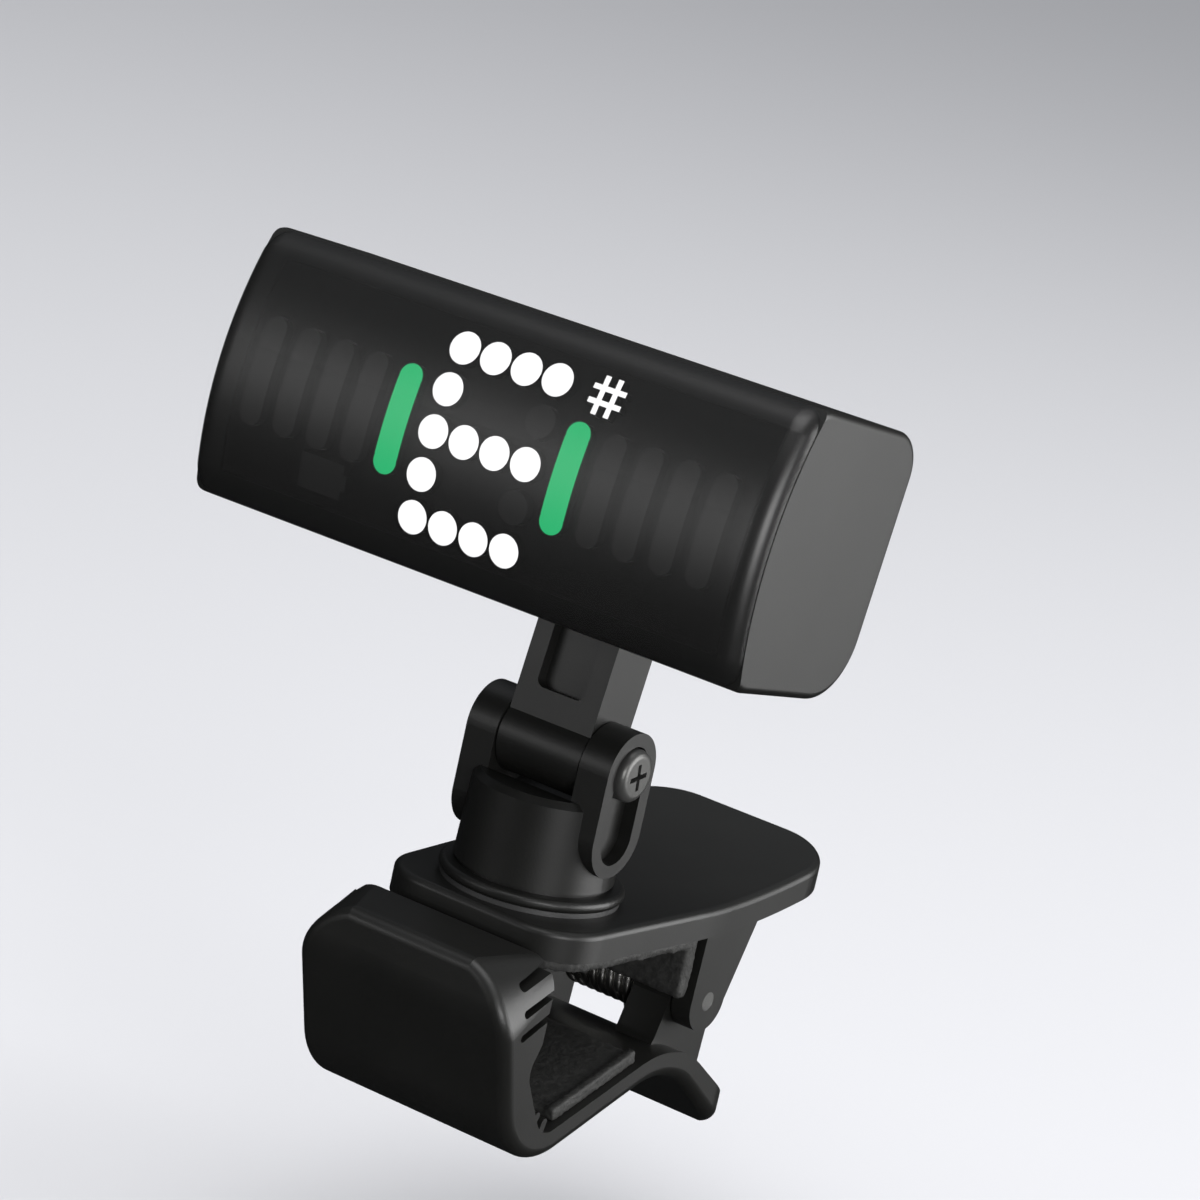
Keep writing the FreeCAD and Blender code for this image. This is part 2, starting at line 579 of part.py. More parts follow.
def flat_mark(x, along, boxes):
    """Boxes drawn flat as (x0, x1, up0, up1), fused and set square to the display."""
    parts = [box(x0, x1, 0.0, 6.0, up0, up1) for x0, x1, up0, up1 in boxes]
    mark = parts[0].fuse(parts[1:]).removeSplitter()
    mark.rotate(V(0, 0, 0), V(1, 0, 0), -math.degrees(along / FACE_R))
    mark.translate(on_face(x, along, GUIDE_OUT - 0.02))
    return mark


# the dots shape a letter E when all but the two at its open side are lit
dot_places = []
lit_dots = []
dark_dots = []
for row in range(5):
    for col in range(4):
        if row in (1, 3) and col in (1, 2):
            continue
        place = ((col - 1.5) * DOT_PITCH, (2 - row) * DOT_ROW)
        dot_places.append(place)
        kind = dark_dots if row in (1, 3) and col == 3 else lit_dots
        kind.append(guide_round(place[0], place[1], DOT_R))
dot_tools = lit_dots + dark_dots
bars_lit = [guide_slot(s * BAR_FIRST, BAR_L, BAR_W) for s in (-1, 1)]
bars_dim = [guide_slot(s * (BAR_FIRST + k * BAR_PITCH), BAR_L, BAR_W) for s in (-1, 1) for k in (1, 2, 3, 4)]

SHARP_X = 8.62
SHARP_UP = 6.64
SHARP_ARM = 0.55
SHARP_HALF = 0.2
sharp_boxes = []
for k in (-1, 1):
    sharp_boxes.append((k * SHARP_ARM - SHARP_HALF, k * SHARP_ARM + SHARP_HALF, -1.5, 1.5))
    sharp_boxes.append((-1.4, 1.4, k * SHARP_ARM - SHARP_HALF, k * SHARP_ARM + SHARP_HALF))
sharp_tool = flat_mark(SHARP_X, SHARP_UP, sharp_boxes)
CELL_X = -12.8
CELL_UP = -6.1
cell_tool = flat_mark(CELL_X, CELL_UP, [(-2.15, 1.85, -1.35, 1.35), (1.8, 2.2, -0.6, 0.6)])
every_tool = dot_tools + bars_lit + bars_dim + [sharp_tool, cell_tool]
frame = frame.cut(group(every_tool))
frame = max(frame.Solids, key=lambda solid: solid.Volume)
save("light_frame", lean(frame))
save("dot_light_guides", lean(group([plug(t) for t in lit_dots])))
save("dark_dot_guides", lean(group([plug(t) for t in dark_dots])))
save("centre_bar_guides", lean(group([plug(t) for t in bars_lit])))
save("side_bar_guides", lean(group([plug(t) for t in bars_dim])))
inner_limit = drum_about_face(GUIDE_OUT + 1).cut(drum_about_face(FRAME_OUT - FRAME_T))
save("sharp_sign_guide", lean(sharp_tool.common(inner_limit)))
save("battery_icon_guide", lean(cell_tool.common(inner_limit)))

# the pockets are a little wider than the guides
pockets = [guide_round(x, along, DOT_R + 0.03) for x, along in dot_places]
for s in (-1, 1):
    for k in range(5):
        pockets.append(guide_slot(s * (BAR_FIRST + k * BAR_PITCH), BAR_L + 0.06, BAR_W + 0.06))
pocket_zone = drum_about_face(FACE_R - SKIN)
pockets = [t.common(pocket_zone) for t in pockets]
wide_sharp = [(x0 - 0.03, x1 + 0.03, z0 - 0.03, z1 + 0.03) for x0, x1, z0, z1 in sharp_boxes]
pockets.append(flat_mark(SHARP_X, SHARP_UP, wide_sharp))
pockets.append(flat_mark(CELL_X, CELL_UP, [(-2.18, 1.88, -1.38, 1.38), (1.8, 2.23, -0.63, 0.63)]))
for t in pockets[-2:]:
    a = (SHARP_UP if t is pockets[-2] else CELL_UP) / FACE_R
    t.translate(V(0, -0.03 * math.cos(a), 0.03 * math.sin(a)))
lens = lens.cut(group(pockets))
save("front_lens", lean(lens))

# circuit board and what it carries
board = box(-HEAD_HALF + 2.6, HEAD_HALF - 2.6, BOARD_FRONT, BOARD_FRONT + BOARD_T,
            HINGE_Z + HEAD_BOTTOM + 2.6, HINGE_Z + HEAD_TOP - 2.6)
board = board.cut(group([rod(0.9, (x, BOARD_FRONT - 1, z), (x, BOARD_FRONT + 3, z)) for x, z in POSTS]))
save("main_board", lean(board))

screws = []
for x, z in POSTS:
    screw = rod(1.5, (x, BOARD_FRONT - 0.9, z), (x, BOARD_FRONT, z))
    slot = cross_slot(0.45, 0.8, 0.32)
    slot.rotate(V(0, 0, 0), V(1, 0, 0), 90)
    slot.translate(V(x, BOARD_FRONT - 0.9, z))
    screw = screw.cut(slot).fuse(rod(0.7, (x, BOARD_FRONT - 0.1, z), (x, -11.2, z)))
    screws.append(lean(screw))
save("board_screws", group(screws))

LED_T = 0.6
leds = []
for row in range(5):
    for col in range(4):
        if row in (1, 3) and col in (1, 2):
            continue
        leds.append(((col - 1.5) * DOT_PITCH, (2 - row) * DOT_ROW))
for s in (-1, 1):
    for k in range(5):
        leds.append((s * (BAR_FIRST + k * BAR_PITCH), 0.0))
leds.append((SHARP_X, SHARP_UP))
leds.append((CELL_X, CELL_UP))
lamp_solids = []
for x, up in leds:
    z = HINGE_Z + FACE_UP + up
    lamp_solids.append(lean(box(x - 0.8, x + 0.8, BOARD_FRONT - LED_T, BOARD_FRONT, z - 0.4, z + 0.4)))
save("display_leds", group(lamp_solids))

BOARD_BACK = BOARD_FRONT + BOARD_T
chip = box(3.0, 8.0, BOARD_BACK, BOARD_BACK + 0.9, HINGE_Z + 19.0, HINGE_Z + 24.0)
small_chip = box(-8.0, -4.0, BOARD_BACK, BOARD_BACK + 0.8, HINGE_Z + 25.6, HINGE_Z + 28.6)
save("tuner_chips", group([lean(chip), lean(small_chip)]))

cell = box(0.0 - 2.0, 17.5, -16.9, -12.9, HINGE_Z + 14.2, HINGE_Z + 29.0)
cell = ball_rim(cell, 0.8, lambda e: e.BoundBox.XLength > 10)
save("battery_cell", lean(cell))

piezo = rod(5.5, (8.0, HEAD_REAR - SHELL - 0.5, HINGE_Z + 21.5), (8.0, HEAD_REAR - SHELL, HINGE_Z + 21.5))
save("piezo_sensor", lean(piezo))

USB_DEEP = 6.8
port = box(-HEAD_HALF + 0.5, -HEAD_HALF + 0.5 + USB_DEEP, USB_Y - 1.58, USB_Y + 1.58, USB_Z - 4.45, USB_Z + 4.45)
port = ball_rim(port, 1.5, lambda e: e.BoundBox.XLength > 3)
hollow = box(-HEAD_HALF, -HEAD_HALF + 0.5 + USB_DEEP - 1.0, USB_Y - 1.25, USB_Y + 1.25, USB_Z - 4.12, USB_Z + 4.12)
hollow = ball_rim(hollow, 1.2, lambda e: e.BoundBox.XLength > 3)
port = port.cut(hollow)
tongue = box(-HEAD_HALF + 1.5, -HEAD_HALF + 7.0, USB_Y - 0.35, USB_Y + 0.35, USB_Z - 3.3, USB_Z + 3.3)
port = port.fuse(tongue)
feet = box(-HEAD_HALF + 3.0, -HEAD_HALF + 7.0, BOARD_BACK, USB_Y - 1.5, USB_Z - 2.0, USB_Z + 2.0)
port = port.fuse(feet)
save("usb_c_socket", lean(port))

# power button on the back, with the switch behind it
TRAVEL = 0.4
cap = rod(BUTTON_R, (BUTTON_X, HEAD_REAR - 1.2, BUTTON_Z), (BUTTON_X, HEAD_REAR + 0.6, BUTTON_Z))
cap = ball_rim(cap, 0.4, lambda e: e.Closed and e.CenterOfMass.y > HEAD_REAR + 0.5)
collar = rod(BUTTON_R + 0.7, (BUTTON_X, HEAD_REAR - SHELL - 0.75, BUTTON_Z),
             (BUTTON_X, HEAD_REAR - SHELL - 0.05, BUTTON_Z))
stem = rod(1.0, (BUTTON_X, -9.9, BUTTON_Z), (BUTTON_X, HEAD_REAR - 1.2, BUTTON_Z))
neckline = rod(BUTTON_R, (BUTTON_X, HEAD_REAR - SHELL - 0.1, BUTTON_Z), (BUTTON_X, HEAD_REAR - 1.1, BUTTON_Z))
button = cap.fuse([collar, stem, neckline])
save("power_button", lean(button))

SWITCH_TIP = -9.9 - TRAVEL - 0.05
switch = box(BUTTON_X - 3.0, BUTTON_X + 3.0, BOARD_BACK, BOARD_BACK + 3.6, BUTTON_Z - 3.0, BUTTON_Z + 3.0)
switch = switch.fuse(rod(1.75, (BUTTON_X, BOARD_BACK + 3.5, BUTTON_Z), (BUTTON_X, SWITCH_TIP, BUTTON_Z)))
save("push_switch", lean(switch))
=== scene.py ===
# %% [markdown]
# # A clip-on tuner for instruments
# The tuner is a barrel-shaped display head on a short neck. The neck tilts on a fork,
# the fork turns on a spring clip, and the clip grips a headstock.
# The CAD model of every part is loaded first, as a fixed frame in metres. Hard parts keep their
# CAD shape and get a finish here. Soft rubber and the wire spring are modelled again with
# Blender's own tools.

# %% Load the CAD frame
import bpy
import json
import math
from mathutils import Matrix, Vector


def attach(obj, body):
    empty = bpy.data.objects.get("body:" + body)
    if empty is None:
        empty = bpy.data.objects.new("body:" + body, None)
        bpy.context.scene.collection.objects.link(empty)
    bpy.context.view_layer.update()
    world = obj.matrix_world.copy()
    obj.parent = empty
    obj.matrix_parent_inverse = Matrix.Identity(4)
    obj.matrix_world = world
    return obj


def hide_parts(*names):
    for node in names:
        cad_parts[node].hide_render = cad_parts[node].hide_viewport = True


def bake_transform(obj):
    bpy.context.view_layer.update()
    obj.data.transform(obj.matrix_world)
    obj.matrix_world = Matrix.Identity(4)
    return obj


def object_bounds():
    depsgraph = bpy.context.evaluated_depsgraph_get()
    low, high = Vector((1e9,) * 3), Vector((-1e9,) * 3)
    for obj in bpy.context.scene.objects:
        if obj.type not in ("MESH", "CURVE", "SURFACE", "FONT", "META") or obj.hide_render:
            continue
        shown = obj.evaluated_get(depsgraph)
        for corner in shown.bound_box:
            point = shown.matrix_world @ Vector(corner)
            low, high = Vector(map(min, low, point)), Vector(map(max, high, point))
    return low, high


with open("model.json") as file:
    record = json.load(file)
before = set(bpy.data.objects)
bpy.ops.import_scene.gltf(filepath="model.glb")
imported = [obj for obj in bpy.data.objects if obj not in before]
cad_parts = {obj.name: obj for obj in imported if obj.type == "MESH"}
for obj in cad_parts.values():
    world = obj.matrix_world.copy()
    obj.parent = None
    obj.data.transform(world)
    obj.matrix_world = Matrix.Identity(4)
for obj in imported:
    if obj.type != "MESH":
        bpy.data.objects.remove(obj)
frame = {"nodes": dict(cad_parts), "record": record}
node = frame["nodes"]
cad_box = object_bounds()

# %% [markdown]
# Lengths on such a small object are easiest to read in millimetres, while Blender works in
# metres. One factor turns one into the other.

# %% A millimetre
MM = 0.001
print("the object is", [round((b - a) / MM, 1) for a, b in zip(*cad_box)], "mm")

# %% [markdown]
# ## Finishes
# Every finish starts the same way: the point's place on the object feeds a few noises. A broad
# one lets the colour drift, a medium one makes the gloss uneven, as handling does, and a fine
# one raises the grain that the mould leaves. Only their sizes and strengths differ, so one
# helper wires them and each finish gives its own numbers.

# %% Helper: the nodes that all finishes share
SMEAR_SIZE = 0.35       # how much finer than the colour drift the handling marks are spaced
GRAIN_DEPTH = 0.3       # height of the grain as a share of its width
NOISE_LOW, NOISE_HIGH = 0.3, 0.7    # the range that a noise really fills
COLOUR_A, COLOUR_B, MIXED = 6, 7, 2  # the colour sockets of a mix node, and its result


def new_finish(name, colour, other, rough, grain_mm, bump, drift_mm=6.0, metal=0.0,
               specular=0.5, stretch=(1.0, 1.0, 1.0), handled=0.08):
    """A finish: two colours that drift, gloss that is uneven, and a raised grain."""
    mat = bpy.data.materials.new(name)
    mat.use_nodes = True
    tree = mat.node_tree
    tree.nodes.clear()
    add, join = tree.nodes.new, tree.links.new
    out = add("ShaderNodeOutputMaterial")
    shader = add("ShaderNodeBsdfPrincipled")
    join(shader.outputs[0], out.inputs[0])
    place = add("ShaderNodeTexCoord")
    turn = add("ShaderNodeMapping")
    turn.inputs["Scale"].default_value = stretch
    join(place.outputs["Object"], turn.inputs[0])
    # colour
    broad = add("ShaderNodeTexNoise")
    broad.inputs["Scale"].default_value = 1.0 / (drift_mm * MM)
    broad.inputs["Detail"].default_value = 4.0
    join(turn.outputs[0], broad.inputs["Vector"])
    tint = add("ShaderNodeMix")
    tint.data_type = "RGBA"
    tint.inputs[COLOUR_A].default_value = (*colour, 1)
    tint.inputs[COLOUR_B].default_value = (*other, 1)
    join(broad.outputs["Fac"], tint.inputs[0])
    join(tint.outputs[MIXED], shader.inputs["Base Color"])
    # gloss
    smear = add("ShaderNodeTexNoise")
    smear.inputs["Scale"].default_value = SMEAR_SIZE / (drift_mm * MM)
    smear.inputs["Detail"].default_value = 6.0
    join(turn.outputs[0], smear.inputs["Vector"])
    gloss = add("ShaderNodeMapRange")
    gloss.inputs["From Min"].default_value = NOISE_LOW
    gloss.inputs["From Max"].default_value = NOISE_HIGH
    gloss.inputs["To Min"].default_value = rough - handled / 2
    gloss.inputs["To Max"].default_value = rough + handled / 2
    join(smear.outputs["Fac"], gloss.inputs["Value"])
    join(gloss.outputs[0], shader.inputs["Roughness"])
    # grain
    fine = add("ShaderNodeTexNoise")
    fine.inputs["Scale"].default_value = 1.0 / (grain_mm * MM)
    fine.inputs["Detail"].default_value = 2.0
    join(turn.outputs[0], fine.inputs["Vector"])
    relief = add("ShaderNodeBump")
    relief.inputs["Strength"].default_value = bump
    relief.inputs["Distance"].default_value = grain_mm * MM * GRAIN_DEPTH
    join(fine.outputs["Fac"], relief.inputs["Height"])
    join(relief.outputs[0], shader.inputs["Normal"])
    shader.inputs["Metallic"].default_value = metal
    shader.inputs["Specular IOR Level"].default_value = specular
    return mat, shader


# %% [markdown]
# The housing, arm, fork and jaws are one black thermoplastic. A spark-eroded mould leaves a
# satin grain of about a sixth of a millimetre. A smooth gloss black would show every light as a
# hard streak, so the grain and a middling roughness are what make it read as moulded plastic.

# %% Finish: satin black plastic and the nylon ring
satin_black, _ = new_finish("satin_black_plastic",
                            (0.0052, 0.0052, 0.0047), (0.0080, 0.0080, 0.0073),
                            rough=0.40, grain_mm=0.16, bump=0.12, specular=0.36)
nylon, _ = new_finish("grey_nylon", (0.02, 0.02, 0.02), (0.03, 0.03, 0.03),
                      rough=0.5, grain_mm=0.2, bump=0.2)
print("plastics:", satin_black.name, nylon.name)

# %% [markdown]
# Both grips and the push button are soft. Cast rubber is duller than the plastic and shows pale
# specks where its grain catches light, so its two colours sit further apart and its grain is
# raised more.

# %% Finish: rubber
rubber, _ = new_finish("grained_rubber", (0.002, 0.002, 0.002), (0.034, 0.034, 0.032),
                       rough=0.66, grain_mm=0.34, bump=0.9, specular=0.34,
                       drift_mm=0.5, handled=0.14)
button_rubber, _ = new_finish("button_rubber", (0.012, 0.012, 0.012), (0.018, 0.018, 0.018),
                              rough=0.6, grain_mm=0.2, bump=0.3, specular=0.4)
print("rubbers:", rubber.name, button_rubber.name)

# %% [markdown]
# The pin, the washer, the socket shell and the spring are bright metal. The spring is drawn
# wire, so its grain is stretched along the coil's axis. The screws are blackened zinc, which is
# only partly reflective.

# %% Finish: metals
bright_steel, _ = new_finish("bright_steel", (0.62, 0.62, 0.61), (0.74, 0.74, 0.72),
                             rough=0.24, grain_mm=0.08, bump=0.06, metal=1.0)
spring_steel, _ = new_finish("spring_steel", (0.66, 0.65, 0.63), (0.80, 0.79, 0.76),
                             rough=0.22, grain_mm=0.10, bump=0.08, metal=1.0,
                             stretch=(3.0, 1.0, 1.0))
dark_screw, _ = new_finish("blackened_screw", (0.050, 0.050, 0.048), (0.085, 0.085, 0.082),
                           rough=0.38, grain_mm=0.10, bump=0.15, metal=0.6)
foil, _ = new_finish("cell_foil", (0.60, 0.60, 0.62), (0.70, 0.70, 0.72),
                     rough=0.35, grain_mm=0.4, bump=0.3, metal=0.9)
brass, _ = new_finish("sensor_brass", (0.62, 0.42, 0.15), (0.72, 0.50, 0.20),
                      rough=0.3, grain_mm=0.1, bump=0.1, metal=1.0)
print("metals:", bright_steel.name, spring_steel.name, dark_screw.name, foil.name, brass.name)

# %% [markdown]
# Behind the window sit a black mask, the circuit board and the moulded parts on it. They are
# only seen when the tuner is taken apart.

# %% Finish: parts inside the head
mask, _ = new_finish("light_mask", (0.0015, 0.0015, 0.0015), (0.003, 0.003, 0.003),
                     rough=0.7, grain_mm=0.2, bump=0.1, specular=0.1)
board, _ = new_finish("circuit_board", (0.005, 0.06, 0.02), (0.008, 0.09, 0.03),
                      rough=0.35, grain_mm=0.6, bump=0.2)
led_body, _ = new_finish("led_body", (0.75, 0.75, 0.70), (0.82, 0.82, 0.78),
                         rough=0.4, grain_mm=0.2, bump=0.1)
chip, _ = new_finish("chip_body", (0.012, 0.012, 0.012), (0.02, 0.02, 0.02),
                     rough=0.5, grain_mm=0.1, bump=0.2)
print("inside:", mask.name, board.name, led_body.name, chip.name)

# %% [markdown]
# The display is a row of light guides that end under a smoked window. The window nearly hides
# every guide that isn't lit; the unlit guides get a faint painted glow that stands in for room
# light reaching them through the window. Lit guides glow, and need to be strong because the
# window swallows most of their light. Thin plastic here is made by a constant alpha, which is
# dependable in any light, where real refraction through two thin walls would be noisy.

# %% Finish: window and light guides
DISPLAY_AXIS = Vector((0, 7.851, 35.356)) * MM
GUIDE_END = 28.45 * MM


def glow(mat, shader, colour, strength):
    """Makes a light guide glow at its front end, found by distance from the display's axis."""
    tree = mat.node_tree
    add, join = tree.nodes.new, tree.links.new
    place = add("ShaderNodeTexCoord")
    centred = add("ShaderNodeVectorMath")
    centred.operation = "SUBTRACT"
    centred.inputs[1].default_value = DISPLAY_AXIS
    across = add("ShaderNodeVectorMath")
    across.operation = "MULTIPLY"
    across.inputs[1].default_value = (0, 1, 1)
    reach = add("ShaderNodeVectorMath")
    reach.operation = "LENGTH"
    at_end = add("ShaderNodeMath")
    at_end.operation = "GREATER_THAN"
    at_end.inputs[1].default_value = GUIDE_END
    light = add("ShaderNodeMix")
    light.data_type = "RGBA"
    light.inputs[COLOUR_A].default_value = (0, 0, 0, 1)
    light.inputs[COLOUR_B].default_value = (*colour, 1)
    join(place.outputs["Object"], centred.inputs[0])
    join(centred.outputs[0], across.inputs[0])
    join(across.outputs[0], reach.inputs[0])
    join(reach.outputs["Value"], at_end.inputs[0])
    join(at_end.outputs[0], light.inputs[0])
    join(light.outputs[MIXED], shader.inputs["Emission Color"])
    shader.inputs["Emission Strength"].default_value = strength
    return mat


WINDOW_ALPHA = 0.60
THROUGH = (1 - WINDOW_ALPHA) ** 2
white_light, s = new_finish("white_light_guide", (0.020, 0.020, 0.020), (0.025, 0.025, 0.025),
                            rough=0.5, grain_mm=0.2, bump=0.05)
glow(white_light, s, (1.0, 1.0, 1.0), 1.05 / THROUGH)
green_light, s = new_finish("green_light_guide", (0.010, 0.030, 0.018), (0.012, 0.036, 0.022),
                            rough=0.5, grain_mm=0.2, bump=0.05)
glow(green_light, s, (0.014, 0.440, 0.150), 1.0 / THROUGH)
# The unlit guides do not glow; their faint white glow is painted light, standing in for room
# light that reaches them through the window.
unlit_guide_painted_glow, s = new_finish("unlit_guide_painted_glow", (0.020, 0.021, 0.020), (0.028, 0.029, 0.028),
                             rough=0.6, grain_mm=0.2, bump=0.1)
glow(unlit_guide_painted_glow, s, (1.0, 1.0, 1.0), 0.0035 / THROUGH)
smoked_lens, s = new_finish("smoked_lens", (0.0080, 0.0080, 0.0076), (0.0100, 0.0100, 0.0096),
                            rough=0.34, grain_mm=0.18, bump=0.02, handled=0.02)
s.inputs["Alpha"].default_value = WINDOW_ALPHA
print("light that passes the window:", round(THROUGH, 3))

# %% [markdown]
# The record names a material slot for every part. Each slot gets its finish.

# %% Which finish belongs to which slot
FINISH = {
    "black_plastic": satin_black, "rubber_pad": rubber, "bright_steel": bright_steel,
    "spring_steel": spring_steel, "grey_nylon": nylon, "screw_metal": dark_screw,
    "smoked_lens": smoked_lens, "mask_black": mask, "white_diffuser": white_light,
    "green_diffuser": green_light, "dark_diffuser": unlit_guide_painted_glow, "board_green": board,
    "led_body": led_body, "chip_black": chip, "cell_foil": foil, "piezo_brass": brass,
    "button_rubber": button_rubber,
}

# %% [markdown]
# The CAD pieces carry no finish of their own. Each one's slot is looked up in the record, so
# that no piece is forgotten and none is painted twice.

# %% Give every CAD node its finish
slot_of = {s["node"]: s["material_slot"] for s in frame["record"]["subparts"]}
for name, obj in node.items():
    obj.data.materials.clear()
    obj.data.materials.append(FINISH[slot_of[name]])
print("finished nodes:", len(slot_of))

# %% [markdown]
# ## Rubber pieces
# The two grips and the push button are cast rubber. Their CAD solids have sharp edges and flat
# faces, which no casting has. Each one's mesh is copied, its loose triangles are merged, and it
# is rebuilt as an even skin of small faces. Smoothing that skin rounds every edge, and a cloud
# pattern pushed into it raises the coarse grain. Painting the grain on alone would leave the
# outline of the pad perfectly straight.

# %% Helper: cast a rubber piece over a CAD solid
def cast_rubber(name, source, face_mm, grain_mm, relief_mm, rounds):
    """A rubber piece with soft edges and a raised grain, in the place of a CAD node."""
    bpy.ops.object.select_all(action="DESELECT")
    piece = bpy.data.objects.new(name, node[source].data.copy())
    bpy.context.scene.collection.objects.link(piece)
    piece.select_set(True)
    bpy.context.view_layer.objects.active = piece
    bpy.ops.object.mode_set(mode="EDIT")
    bpy.ops.mesh.select_all(action="SELECT")
    bpy.ops.mesh.remove_doubles(threshold=0.002 * MM)
    bpy.ops.object.mode_set(mode="OBJECT")
    skin = piece.modifiers.new("skin", "REMESH")
    skin.mode = "VOXEL"
    skin.voxel_size = face_mm * MM
    bpy.ops.object.modifier_apply(modifier="skin")
    soft = piece.modifiers.new("soft_edges", "SMOOTH")
    soft.factor = 0.5
    soft.iterations = rounds
    bpy.ops.object.modifier_apply(modifier="soft_edges")
    cloud = bpy.data.textures.new(name + "_grain", "CLOUDS")
    cloud.noise_scale = grain_mm * MM
    cloud.noise_depth = 1
    grain = piece.modifiers.new("grain", "DISPLACE")
    grain.texture = cloud
    grain.texture_coords = "LOCAL"
    grain.mid_level = 0.62
    grain.strength = relief_mm * MM
    bpy.ops.object.modifier_apply(modifier="grain")
    bpy.ops.object.shade_smooth()
    slot_name = slot_of[source]
    piece.data.materials.clear()
    piece.data.materials.append(FINISH[slot_name])
    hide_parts(source)
    print(name, "faces:", len(piece.data.polygons))
    return piece


# %% [markdown]
# The upper grip lies under the plate and has a leg that hangs in front of the spring. Its
# front edge and its leg show a strong speckle.

# %% Upper grip
upper_grip = cast_rubber("upper_grip", "upper_pad", 0.26, 0.55, 0.22, 2)
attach(upper_grip, "clip")

# %% [markdown]
# The lower grip is a thinner mat with a lip along each side. It is smoother than the upper one.

# %% Lower grip
lower_grip = cast_rubber("lower_grip", "lower_pad", 0.22, 0.45, 0.10, 2)
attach(lower_grip, "lever")

# %% [markdown]
# The push button at the back is a soft silicone cap, nearly smooth.

# %% Push button
button_cap = cast_rubber("button_cap", "power_button", 0.16, 0.6, 0.03, 3)
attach(button_cap, "button")

# %% [markdown]
# ## Torsion spring
# The spring is one wire: a leg that presses up on the plate, seven and a quarter turns round
# the pin, and a leg that presses down on the lower jaw. The wire's round section is spun along
# the coil's axis with a screw modifier, which keeps every turn the same. The two legs leave
# the coil along its tangent, with a ball of wire at each bend.

# %% Spring dimensions, in millimetres
WIRE, COIL_R, TURNS, PITCH = 0.80, 2.35, 7 + 88 / 360, 0.83
WIRE_SIDES, COIL_STEPS = 14, 260
COIL_START = Vector((-2.0, 13.85, -5.0))
PLATE_LEG, TAIL_LEG = math.radians(122.0), math.radians(210.0)
print("coil length", round(TURNS * PITCH, 2), "mm, wire", WIRE, "mm")

# %% [markdown]
# The coil starts as one ring, the cut through the wire, set where the plate leg will leave.
# The ring is wound about the X axis at the origin, its open ends are closed, and the coil is
# then moved onto the pivot pin.

# %% Wind the coil
bpy.ops.object.select_all(action="DESELECT")
start = Vector((0, math.cos(PLATE_LEG), math.sin(PLATE_LEG))) * COIL_R * MM
bpy.ops.mesh.primitive_circle_add(vertices=WIRE_SIDES, radius=WIRE / 2 * MM,
                                  location=start, rotation=(PLATE_LEG, 0, 0))
spring = bpy.context.object
spring.name = "wound_spring"
bpy.ops.object.transform_apply(location=True, rotation=True, scale=True)
wind = spring.modifiers.new("wind", "SCREW")
wind.axis = "X"
wind.angle = TURNS * 2 * math.pi
wind.screw_offset = TURNS * PITCH * MM
wind.steps = COIL_STEPS
wind.render_steps = COIL_STEPS
bpy.ops.object.modifier_apply(modifier="wind")
bpy.ops.object.mode_set(mode="EDIT")
bpy.ops.mesh.select_all(action="SELECT")
bpy.ops.mesh.fill_holes(sides=0)
bpy.ops.object.mode_set(mode="OBJECT")
spring.location = COIL_START * MM
bpy.ops.object.transform_apply(location=True, rotation=False, scale=False)
coil_top = [max(v.co[i] for v in spring.data.vertices) for i in range(3)]
print("coil reaches", [round(value / MM, 2) for value in coil_top], "mm")

# %% [markdown]
# Each leg is a short straight rod. Its direction is square to the coil's radius at the place
# where it leaves, and the ball at its root hides the seam.

# %% Helper: one leg of the spring
def wire_leg(x_mm, angle, length_mm, sign):
    """A straight wire along the coil's tangent, with a ball at each end."""
    out = Vector((0, math.cos(angle), math.sin(angle)))
    root = Vector((x_mm, COIL_START.y, COIL_START.z)) + out * COIL_R
    along = Vector((0, -math.sin(angle) * sign, math.cos(angle) * sign))
    made = []
    bpy.ops.mesh.primitive_cylinder_add(
        vertices=WIRE_SIDES, radius=WIRE / 2 * MM, depth=length_mm * MM,
        location=(root + along * length_mm / 2) * MM,
        rotation=(math.atan2(-along.y, along.z), 0, 0))
    made.append(bpy.context.object)
    for end in (root, root + along * length_mm):
        bpy.ops.mesh.primitive_uv_sphere_add(
            segments=WIRE_SIDES, ring_count=8, radius=WIRE / 2 * MM, location=end * MM)
        made.append(bpy.context.object)
    return made


# %% [markdown]
# The legs and the coil are joined into one piece.

# %% Join the legs to the coil
PLATE_LEG_MM, TAIL_LEG_MM = 5.5, 2.5
legs = wire_leg(COIL_START.x, PLATE_LEG, PLATE_LEG_MM, -1)
legs += wire_leg(COIL_START.x + TURNS * PITCH, TAIL_LEG, TAIL_LEG_MM, 1)
bpy.ops.object.select_all(action="DESELECT")
for part in [spring, *legs]:
    part.select_set(True)
bpy.context.view_layer.objects.active = spring
bpy.ops.object.join()
bpy.ops.object.mode_set(mode="EDIT")
bpy.ops.mesh.select_all(action="SELECT")
bpy.ops.mesh.normals_make_consistent(inside=False)
bpy.ops.object.mode_set(mode="OBJECT")
bpy.ops.object.transform_apply(location=True, rotation=True, scale=True)
bpy.ops.object.shade_smooth_by_angle(angle=math.radians(40))
spring.data.materials.clear()
spring.data.materials.append(spring_steel)
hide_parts("torsion_spring")
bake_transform(spring)
print("spring faces:", len(spring.data.polygons))

# %% [markdown]
# ## Camera and light
# The camera looks from the right of the display and a little above it, through a long lens, so
# that the head's far end is barely smaller than its near end.

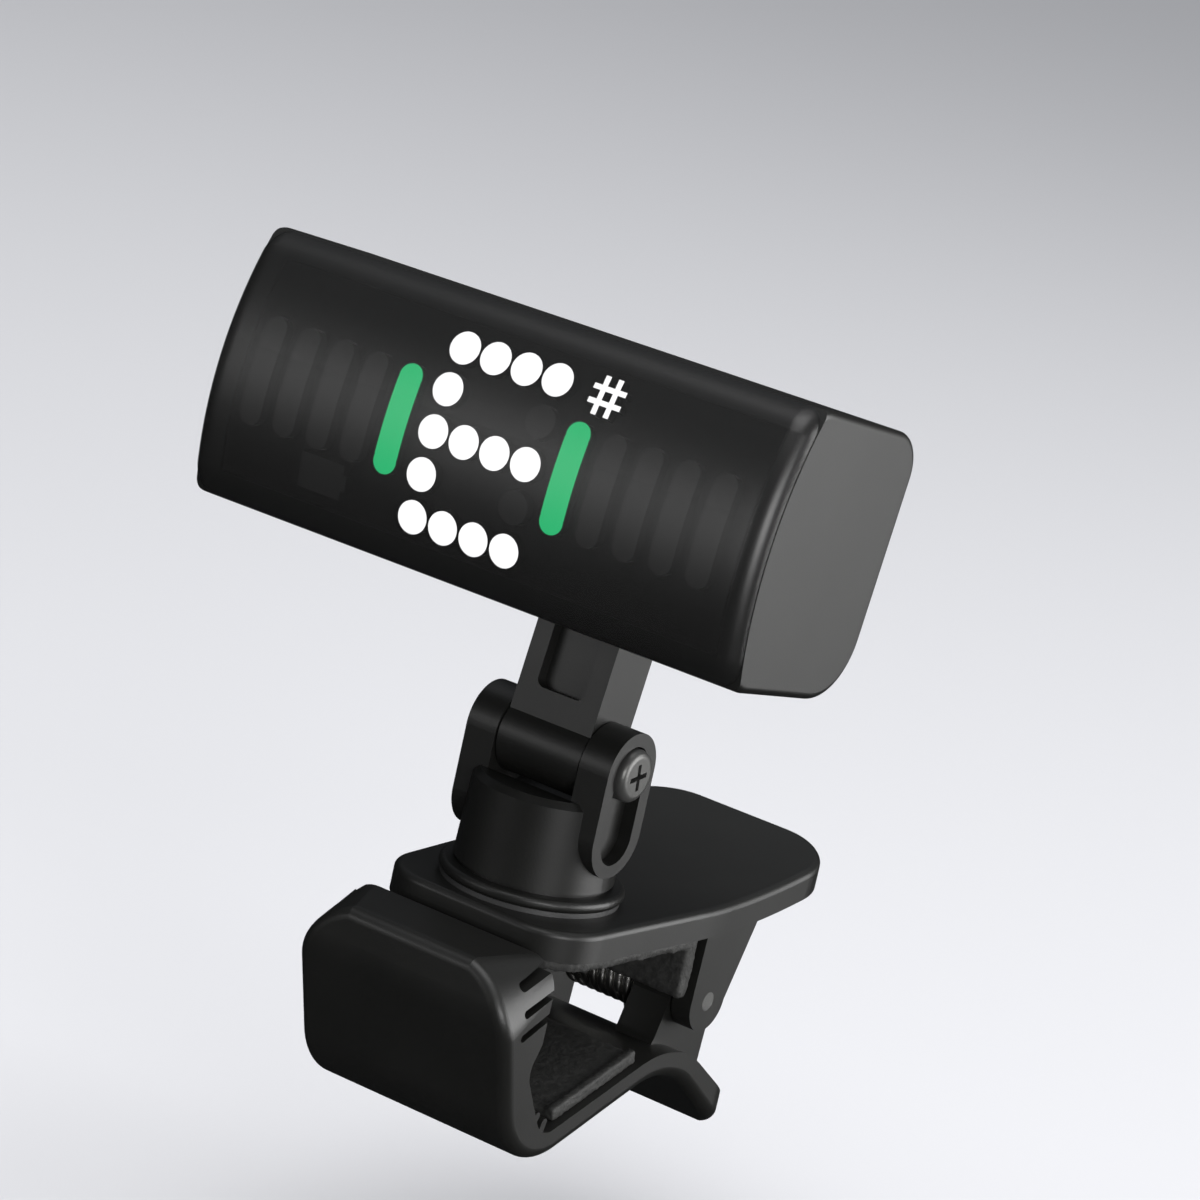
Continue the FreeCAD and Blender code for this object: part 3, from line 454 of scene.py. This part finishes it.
# %% Camera
CAMERA_AT = (173.91, -287.34, 107.06)
RIGHT, UP, BACK = (0.8101, 0.5471, 0.2107), (-0.3024, 0.0820, 0.9496), (0.5023, -0.8330, 0.2319)
camera_data = bpy.data.cameras.new("camera")
camera = bpy.data.objects.new("camera", camera_data)
bpy.context.scene.collection.objects.link(camera)
place = Matrix.Identity(4)
for column, axis in enumerate((RIGHT, UP, BACK)):
    for row in range(3):
        place[row][column] = axis[row]
for row, value in enumerate(CAMERA_AT):
    place[row][3] = value * MM
camera.matrix_world = place
camera_data.lens = 134.2
camera_data.sensor_width = 36.0
camera_data.clip_start = 0.01
camera_data.clip_end = 20.0
bpy.context.scene.camera = camera
print("camera distance:", round(place.translation.length / MM, 1), "mm")

# %% [markdown]
# The floor is a plain pale sheet. It lies lower than the hook reaches when the jaw is fully
# open, so that no pose sinks into it, and it reaches far past the view, so no edge of it shows.

# %% Floor
def plain(name, colour, rough=0.9):
    """A flat paint for the studio, which is not part of the object."""
    mat = bpy.data.materials.new(name)
    mat.use_nodes = True
    s = mat.node_tree.nodes["Principled BSDF"]
    s.inputs["Base Color"].default_value = (*colour, 1)
    s.inputs["Roughness"].default_value = rough
    s.inputs["Specular IOR Level"].default_value = 0.0
    return mat


JAW_SWING = 16 * MM
FLOOR_Z = cad_box[0].z - JAW_SWING
bpy.ops.object.select_all(action="DESELECT")
bpy.ops.mesh.primitive_plane_add(size=30.0, location=(0, 0, FLOOR_Z))
floor = bpy.context.object
floor.name = "studio_floor"
floor.data.materials.append(plain("floor_paint", (0.62, 0.62, 0.64)))
floor.visible_glossy = False
print("floor at", round(FLOOR_Z / MM, 2), "mm")

# %% [markdown]
# The room is darker near the horizon than overhead. A black satin object shows its shape by
# what it mirrors, and a dark horizon keeps the plate and the left side of the head deep while
# their upward rounds pick up the brighter ceiling.

# %% Room light
world = bpy.data.worlds.new("studio")
bpy.context.scene.world = world
world.use_nodes = True
sky = world.node_tree
room = sky.nodes["Background"]
direction = sky.nodes.new("ShaderNodeTexCoord")
parts = sky.nodes.new("ShaderNodeSeparateXYZ")
ramp = sky.nodes.new("ShaderNodeMapRange")
ramp.inputs["From Min"].default_value = 0.30
ramp.inputs["From Max"].default_value = 1.0
ramp.inputs["To Min"].default_value = 0.02
ramp.inputs["To Max"].default_value = 0.42
sky.links.new(direction.outputs["Generated"], parts.inputs[0])
sky.links.new(parts.outputs["Z"], ramp.inputs["Value"])
sky.links.new(ramp.outputs[0], room.inputs["Strength"])
room.inputs["Color"].default_value = (0.82, 0.86, 0.92, 1)
print("room light:", [round(ramp.inputs[key].default_value, 2) for key in ("To Min", "To Max")])

# %% [markdown]
# Every lamp is a flat box that faces the middle of the object. Its place is given as a
# direction and a distance, which is how a studio light is moved.

# %% Helper: a soft box
MIDDLE = Vector((0, -0.004, 0.020))


def softbox(name, azimuth, elevation, distance, size, power):
    """A rectangular soft light that looks at the middle of the object."""
    a, e = math.radians(azimuth), math.radians(elevation)
    back = Vector((math.sin(a) * math.cos(e), -math.cos(a) * math.cos(e), math.sin(e)))
    data = bpy.data.lights.new(name, "AREA")
    data.shape = "RECTANGLE"
    data.size, data.size_y = size
    data.energy = power
    lamp = bpy.data.objects.new(name, data)
    lamp.location = MIDDLE + back * distance
    lamp.rotation_mode = "QUATERNION"
    lamp.rotation_quaternion = back.to_track_quat("Z", "Y")
    bpy.context.scene.collection.objects.link(lamp)
    return lamp


# %% [markdown]
# Four soft boxes light the object. The one on the right shows the round end of the display
# and the end face, the high one draws the band along the window's top, and the two in front
# open the drum, the neck and the flange. A wide overhead sun evens out the floor. Azimuth 0 is
# in front of the display and 90 is to its right.

# %% Lamps
softbox("right_box", 122, 6, 0.8, (0.7, 0.6), 10.5)
softbox("high_box", 20, 68, 0.9, (0.8, 0.8), 7.0)
softbox("near_box", 56, 9, 1.3, (0.6, 0.4), 12.0)
softbox("far_box", -28, 9, 1.3, (0.7, 0.4), 2.6)
ceiling_data = bpy.data.lights.new("ceiling", "SUN")
ceiling_data.energy = 0.9
ceiling_data.angle = math.radians(60)
ceiling = bpy.data.objects.new("ceiling", ceiling_data)
bpy.context.scene.collection.objects.link(ceiling)
bpy.context.scene.view_settings.view_transform = "Standard"
